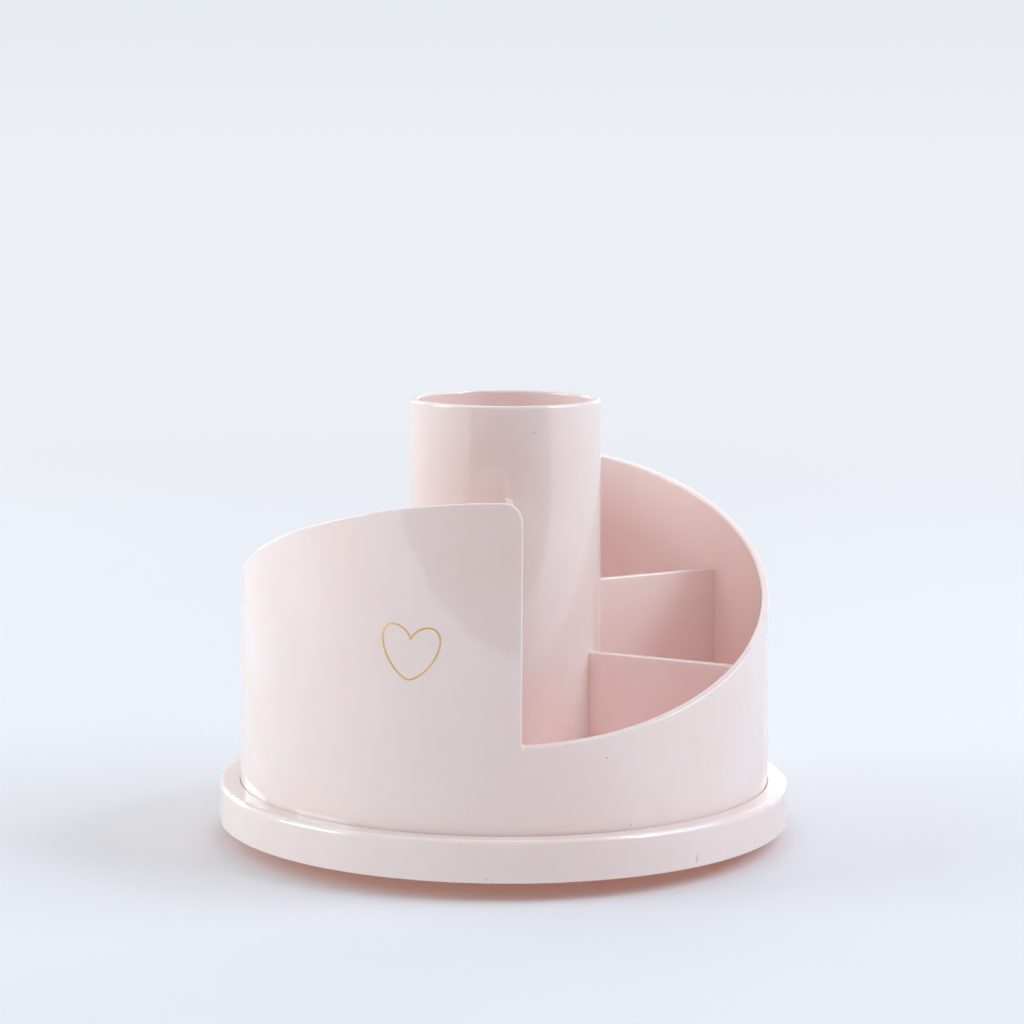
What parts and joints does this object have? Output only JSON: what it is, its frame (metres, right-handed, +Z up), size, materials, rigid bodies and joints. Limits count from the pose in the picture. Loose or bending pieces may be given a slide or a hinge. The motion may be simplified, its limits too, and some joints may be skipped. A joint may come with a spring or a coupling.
{
  "type": "rotating desk organizer",
  "caption": "Round desk organizer with a sloping two-step rim, radial dividers and a central pen tube, turning on a ball-borne plate over a low foot.",
  "frame": {"origin": "on the table under the centre of the foot", "axes": "+Z up along the axis the organizer turns on; -Y towards the picture's viewer, +X to the viewer's right"},
  "size_m": [0.16, 0.16, 0.1227],
  "materials": {
    "cup_plastic": "pale pink moulded plastic, polished, with faint flow marks",
    "plate_plastic": "pale pink moulded plastic, polished, with fine handling scratches",
    "foot_plastic": "pale pink moulded plastic, satin",
    "cage_plastic": "natural white slippery plastic",
    "ball_steel": "polished bearing steel",
    "bush_brass": "turned brass",
    "screw_steel": "zinc plated steel",
    "pad_rubber": "pale translucent rubber, matt",
    "gold_foil": "hot-stamped gold foil line figure"
  },
  "bodies": {
    "foot": {"foot_base": "foot_plastic", "foot_pad_1": "pad_rubber", "foot_pad_2": "pad_rubber", "foot_pad_3": "pad_rubber", "foot_pad_4": "pad_rubber", "foot_pad_5": "pad_rubber", "foot_pad_6": "pad_rubber"},
    "turntable": {"turntable_plate": "plate_plastic", "organizer_cup": "cup_plastic", "pivot_screw": "screw_steel", "pivot_bush": "bush_brass", "pivot_washer": "screw_steel", "cup_screws": "screw_steel"},
    "ball_ring": {"ball_cage": "cage_plastic", "bearing_ball_1": "ball_steel", "bearing_ball_2": "ball_steel", "bearing_ball_3": "ball_steel", "bearing_ball_4": "ball_steel", "bearing_ball_5": "ball_steel", "bearing_ball_6": "ball_steel", "bearing_ball_7": "ball_steel", "bearing_ball_8": "ball_steel", "bearing_ball_9": "ball_steel", "bearing_ball_10": "ball_steel", "bearing_ball_11": "ball_steel", "bearing_ball_12": "ball_steel"}
  },
  "joints": [
    {"name": "turntable_spin", "type": "hinge", "parent": "foot", "child": "turntable", "pos_m": [0, 0, 0.009], "axis": [0, 0, 1], "continuous": true},
    {"name": "ball_ring_spin", "type": "hinge", "parent": "foot", "child": "ball_ring", "pos_m": [0, 0, 0.009], "axis": [0, 0, 1], "continuous": true}
  ],
  "couplings": [
    {"joint": "ball_ring_spin", "follows": "turntable_spin", "ratio": 0.5}
  ]
}
